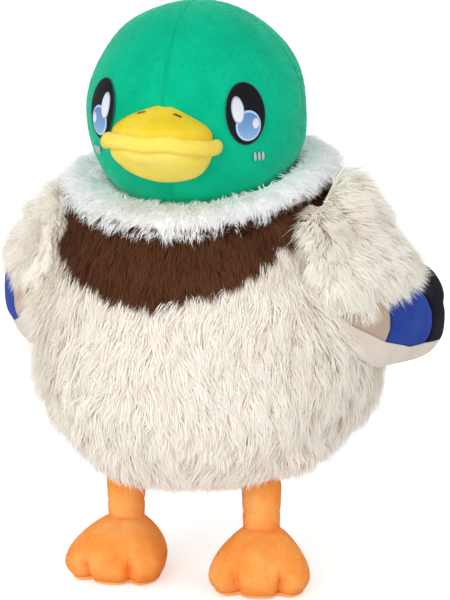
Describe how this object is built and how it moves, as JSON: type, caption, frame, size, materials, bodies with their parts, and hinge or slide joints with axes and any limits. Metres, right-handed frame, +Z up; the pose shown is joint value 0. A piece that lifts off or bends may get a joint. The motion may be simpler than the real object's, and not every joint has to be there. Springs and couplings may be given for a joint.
{
  "type": "plush duck",
  "caption": "Standing stuffed duck with a round long-pile body, ball head, padded bill, drooping wings and flat-soled feet.",
  "frame": {"origin": "centre of the bounding box, at the level of the soles", "axes": "+Z up, the duck faces -Y, +X is the duck's own left side"},
  "size_m": [0.2894, 0.2666, 0.382],
  "materials": {
    "cream_fur": "matte",
    "brown_fur": "matte",
    "white_fur": "matte",
    "green_plush": "matte",
    "amber_plush": "matte",
    "pale_yellow_plush": "matte",
    "yellow_plush": "matte",
    "grey_thread": "satin",
    "dark_thread": "satin",
    "black_thread": "satin",
    "blue_thread": "satin",
    "white_thread": "satin",
    "taupe_plush": "matte",
    "blue_plush": "matte",
    "black_plush": "matte",
    "pale_lining": "matte",
    "orange_plush": "matte",
    "filling": "matte"
  },
  "bodies": {
    "trunk": {"body_fur_cover": "cream_fur", "chest_band": "brown_fur", "body_filling": "filling", "tail": "cream_fur"},
    "collar": {"neck_collar": "white_fur"},
    "head": {"head_cover": "green_plush", "head_filling": "filling", "bill_upper": "amber_plush", "bill_upper_filling": "filling", "bill_lip": "pale_yellow_plush", "bill_lower": "yellow_plush", "bill_lower_filling": "filling", "nostril_stitch_left": "dark_thread", "eye_black_left": "black_thread", "eye_iris_left": "blue_thread", "eye_highlight_large_left": "white_thread", "eye_highlight_small_left": "white_thread", "cheek_stitch_1_left": "grey_thread", "cheek_stitch_2_left": "grey_thread", "cheek_stitch_3_left": "grey_thread", "nostril_stitch_right": "dark_thread", "eye_black_right": "black_thread", "eye_iris_right": "blue_thread", "eye_highlight_large_right": "white_thread", "eye_highlight_small_right": "white_thread", "cheek_stitch_1_right": "grey_thread", "cheek_stitch_2_right": "grey_thread", "cheek_stitch_3_right": "grey_thread"},
    "wing_left": {"wing_fur_sleeve_left": "cream_fur", "wing_taupe_panel_left": "taupe_plush", "wing_blue_panel_left": "blue_plush", "wing_black_tip_left": "black_plush", "wing_lining_left": "pale_lining", "wing_filling_left": "filling"},
    "wing_right": {"wing_fur_sleeve_right": "cream_fur", "wing_taupe_panel_right": "taupe_plush", "wing_blue_panel_right": "blue_plush", "wing_black_tip_right": "black_plush", "wing_lining_right": "pale_lining", "wing_filling_right": "filling"},
    "leg_left": {"leg_cover_left": "orange_plush", "leg_filling_left": "filling"},
    "leg_right": {"leg_cover_right": "orange_plush", "leg_filling_right": "filling"},
    "foot_left": {"foot_upper_left": "orange_plush", "foot_filling_left": "filling", "foot_sole_left": "orange_plush"},
    "foot_right": {"foot_upper_right": "orange_plush", "foot_filling_right": "filling", "foot_sole_right": "orange_plush"}
  },
  "joints": [
    {"name": "head_turn", "type": "hinge", "parent": "trunk", "child": "collar", "pos_m": [0, -0.02387, 0.31], "axis": [0, -0.2756, 0.9613], "range_deg": [-25, 25]},
    {"name": "head_nod", "type": "hinge", "parent": "collar", "child": "head", "pos_m": [0, -0.02387, 0.31], "axis": [1, 0, 0], "range_deg": [-10, 10]},
    {"name": "wing_left_lift", "type": "hinge", "parent": "trunk", "child": "wing_left", "pos_m": [0.092, -0.01787, 0.246], "axis": [-0.4163, -0.9092, 0], "range_deg": [0, 65]},
    {"name": "wing_right_lift", "type": "hinge", "parent": "trunk", "child": "wing_right", "pos_m": [-0.092, -0.01787, 0.246], "axis": [-0.4163, 0.9092, 0], "range_deg": [0, 65]},
    {"name": "leg_left_swing", "type": "hinge", "parent": "trunk", "child": "leg_left", "pos_m": [0.047, -0.03387, 0.064], "axis": [-1, 0, 0], "range_deg": [-20, 45]},
    {"name": "leg_right_swing", "type": "hinge", "parent": "trunk", "child": "leg_right", "pos_m": [-0.047, -0.03387, 0.064], "axis": [-1, 0, 0], "range_deg": [-20, 45]},
    {"name": "foot_left_flex", "type": "hinge", "parent": "leg_left", "child": "foot_left", "pos_m": [0.047, -0.03387, 0.038], "axis": [-1, 0, 0], "range_deg": [-15, 15]},
    {"name": "foot_right_flex", "type": "hinge", "parent": "leg_right", "child": "foot_right", "pos_m": [-0.047, -0.03387, 0.038], "axis": [-1, 0, 0], "range_deg": [-15, 15]}
  ]
}
